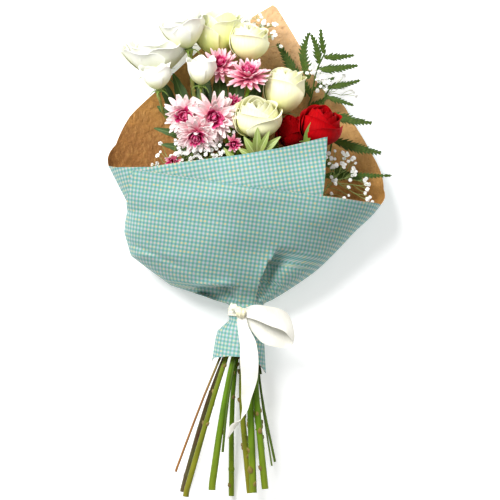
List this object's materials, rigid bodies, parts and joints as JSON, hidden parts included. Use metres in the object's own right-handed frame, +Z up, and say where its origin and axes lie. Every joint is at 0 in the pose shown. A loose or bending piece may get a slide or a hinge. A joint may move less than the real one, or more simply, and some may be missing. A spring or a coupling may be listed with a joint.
{
  "type": "flower bouquet",
  "caption": "Hand-tied bunch of roses, lisianthus, spray chrysanthemums, baby's breath and fern in a two-sided paper wrap tied with a satin ribbon, lying on its back",
  "frame": {"origin": "middle of the overall box at its lowest level, on the surface it lies on", "axes": "+Y along the bunch from the cut stems to the blooms, +X to the right seen from above, +Z up from the surface"},
  "size_m": [0.313, 0.5488, 0.1204],
  "materials": {
    "printed_paper": "matt coated paper with a small teal check, kraft brown inside",
    "satin_ribbon": "cream-white satin with a soft sheen",
    "binding_twine": "dull natural twine",
    "cream_petal": "soft cream petals, greener at the base",
    "red_petal": "deep red velvety petals",
    "white_petal": "thin white petals with a green-yellow tint",
    "pink_petal": "pale pink petals, crimson towards the middle",
    "green_stem": "smooth green stem with a faint waxy gloss",
    "dark_stem": "grey-green stem, purple-brown in places",
    "fern_frond": "dark green leathery frond",
    "light_leaf": "light green soft leaf",
    "white_floret": "small white florets on thin green twigs"
  },
  "bodies": {
    "root": {"paper_wrap": "printed_paper", "ribbon": "satin_ribbon", "stem_binding": "binding_twine", "rose_cream_front": "cream_petal", "rose_cream_front_stem": "green_stem", "rose_cream_right": "cream_petal", "rose_cream_right_stem": "green_stem", "rose_cream_top": "cream_petal", "rose_cream_top_stem": "green_stem", "rose_cream_wide": "cream_petal", "rose_cream_wide_stem": "green_stem", "rose_red_inner": "red_petal", "rose_red_inner_stem": "green_stem", "rose_red_outer": "red_petal", "rose_red_outer_stem": "green_stem", "lisianthus_cup": "white_petal", "lisianthus_left": "white_petal", "lisianthus_top": "white_petal", "lisianthus_wide": "white_petal", "lisianthus_stem": "green_stem", "mum_front_bud": "pink_petal", "mum_left_bud": "pink_petal", "mum_left_front": "pink_petal", "mum_left_upper": "pink_petal", "mum_middle_bud": "pink_petal", "mum_middle_upper": "pink_petal", "mum_top_left": "pink_petal", "mum_top_right": "pink_petal", "mum_left_stem": "dark_stem", "mum_middle_stem": "dark_stem", "fern_lower": "fern_frond", "fern_middle": "fern_frond", "fern_upper": "fern_frond", "leafy_sprig": "light_leaf", "breath_left": "white_floret", "breath_right": "white_floret", "breath_top": "white_floret", "breath_upper": "white_floret"}
  },
  "joints": []
}
